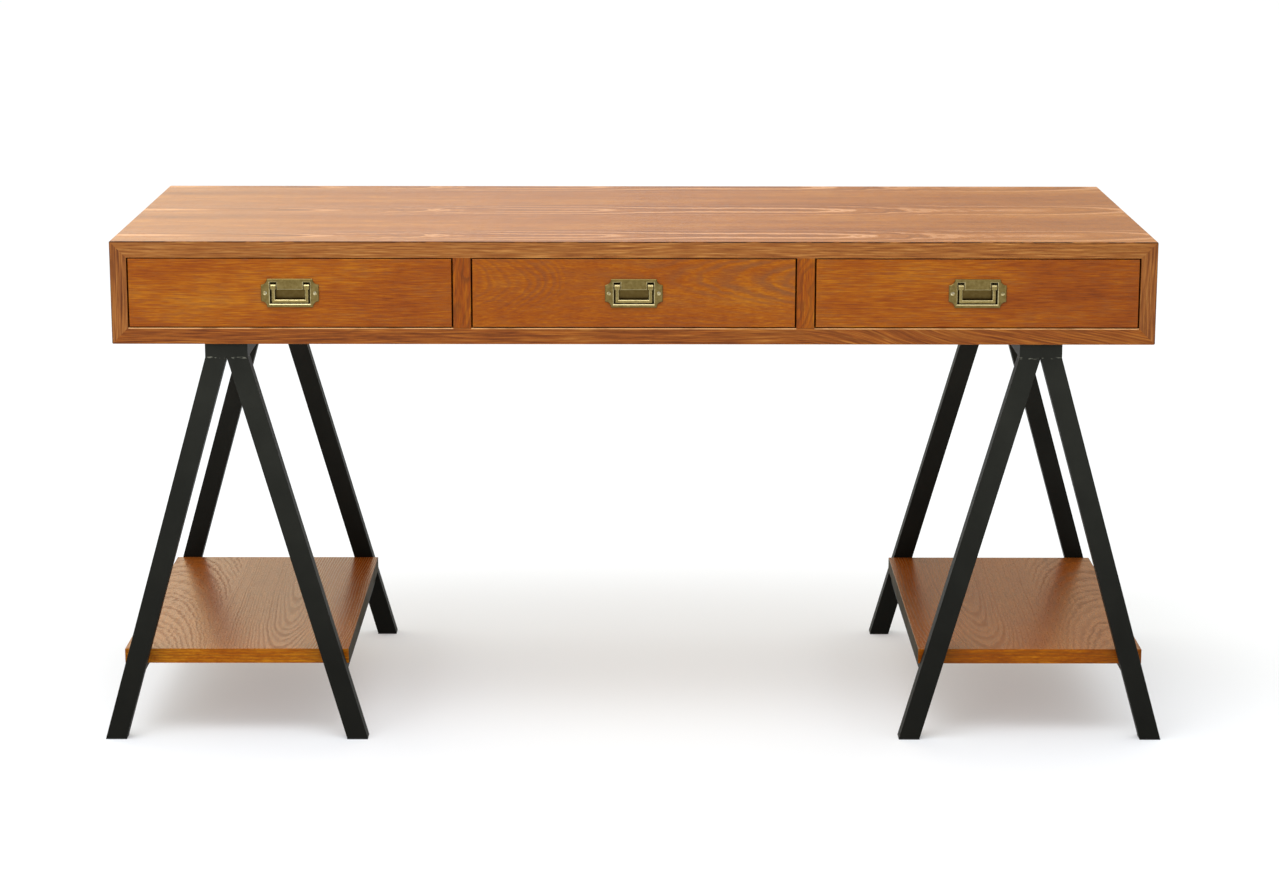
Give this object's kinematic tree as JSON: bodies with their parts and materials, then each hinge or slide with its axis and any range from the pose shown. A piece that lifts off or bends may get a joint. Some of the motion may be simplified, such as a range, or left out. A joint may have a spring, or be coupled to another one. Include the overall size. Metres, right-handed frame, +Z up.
{
  "type": "campaign desk",
  "caption": "Long writing desk: mitred veneered case with inset drawers and recessed brass bail handles, on black steel A-frame trestles with low wooden shelves.",
  "frame": {"origin": "on the floor, at the centre of the desk's outline", "axes": "+X along the desk's length to the viewer's right, +Y from the drawer side to the back, +Z up"},
  "size_m": [1.5856, 0.6127, 0.756],
  "materials": {
    "stained_veneer": "orange-brown stained open-grain veneer, satin lacquer",
    "drawer_wood": "pale unstained secondary wood, sanded",
    "black_steel": "satin black powder coat",
    "antique_brass": "aged brass, brighter on worn edges",
    "bright_brass": "pale worn brass",
    "plated_steel": "zinc-plated steel",
    "foot_plastic": "black moulded plastic"
  },
  "bodies": {
    "desk": {"top_panel": "stained_veneer", "bottom_panel": "stained_veneer", "left_side_panel": "stained_veneer", "right_side_panel": "stained_veneer", "back_panel": "stained_veneer", "left_divider": "stained_veneer", "right_divider": "stained_veneer", "left_drawer_left_runner": "drawer_wood", "left_drawer_right_runner": "drawer_wood", "middle_drawer_left_runner": "drawer_wood", "middle_drawer_right_runner": "drawer_wood", "right_drawer_left_runner": "drawer_wood", "right_drawer_right_runner": "drawer_wood", "left_trestle_front_outer_leg": "black_steel", "left_trestle_front_inner_leg": "black_steel", "left_trestle_rear_outer_leg": "black_steel", "left_trestle_rear_inner_leg": "black_steel", "left_trestle_outer_top_rail": "black_steel", "left_trestle_outer_shelf_rail": "black_steel", "left_trestle_inner_top_rail": "black_steel", "left_trestle_inner_shelf_rail": "black_steel", "left_trestle_shelf": "stained_veneer", "right_trestle_front_outer_leg": "black_steel", "right_trestle_front_inner_leg": "black_steel", "right_trestle_rear_outer_leg": "black_steel", "right_trestle_rear_inner_leg": "black_steel", "right_trestle_outer_top_rail": "black_steel", "right_trestle_outer_shelf_rail": "black_steel", "right_trestle_inner_top_rail": "black_steel", "right_trestle_inner_shelf_rail": "black_steel", "right_trestle_shelf": "stained_veneer", "foot_plugs": "foot_plastic", "trestle_screws": "plated_steel"},
    "left_drawer": {"left_drawer_front": "stained_veneer", "left_drawer_left_side": "drawer_wood", "left_drawer_right_side": "drawer_wood", "left_drawer_back": "drawer_wood", "left_drawer_bottom": "drawer_wood", "left_handle_plate": "antique_brass", "left_handle_pin": "antique_brass", "left_handle_screws": "bright_brass"},
    "left_bail": {"left_handle_bail": "antique_brass"},
    "middle_drawer": {"middle_drawer_front": "stained_veneer", "middle_drawer_left_side": "drawer_wood", "middle_drawer_right_side": "drawer_wood", "middle_drawer_back": "drawer_wood", "middle_drawer_bottom": "drawer_wood", "middle_handle_plate": "antique_brass", "middle_handle_pin": "antique_brass", "middle_handle_screws": "bright_brass"},
    "middle_bail": {"middle_handle_bail": "antique_brass"},
    "right_drawer": {"right_drawer_front": "stained_veneer", "right_drawer_left_side": "drawer_wood", "right_drawer_right_side": "drawer_wood", "right_drawer_back": "drawer_wood", "right_drawer_bottom": "drawer_wood", "right_handle_plate": "antique_brass", "right_handle_pin": "antique_brass", "right_handle_screws": "bright_brass"},
    "right_bail": {"right_handle_bail": "antique_brass"}
  },
  "joints": [
    {"name": "left_drawer_slide", "type": "slide", "parent": "desk", "child": "left_drawer", "axis": [0, -1, 0], "range_m": [0, 0.38]},
    {"name": "left_bail_swing", "type": "hinge", "parent": "left_drawer", "child": "left_bail", "pos_m": [-0.50067, -0.3039, 0.6893], "axis": [-1, 0, 0], "range_deg": [-8, 90]},
    {"name": "middle_drawer_slide", "type": "slide", "parent": "desk", "child": "middle_drawer", "axis": [0, -1, 0], "range_m": [0, 0.38]},
    {"name": "middle_bail_swing", "type": "hinge", "parent": "middle_drawer", "child": "middle_bail", "pos_m": [0, -0.3039, 0.6893], "axis": [-1, 0, 0], "range_deg": [-8, 90]},
    {"name": "right_drawer_slide", "type": "slide", "parent": "desk", "child": "right_drawer", "axis": [0, -1, 0], "range_m": [0, 0.38]},
    {"name": "right_bail_swing", "type": "hinge", "parent": "right_drawer", "child": "right_bail", "pos_m": [0.50067, -0.3039, 0.6893], "axis": [-1, 0, 0], "range_deg": [-8, 90]}
  ]
}
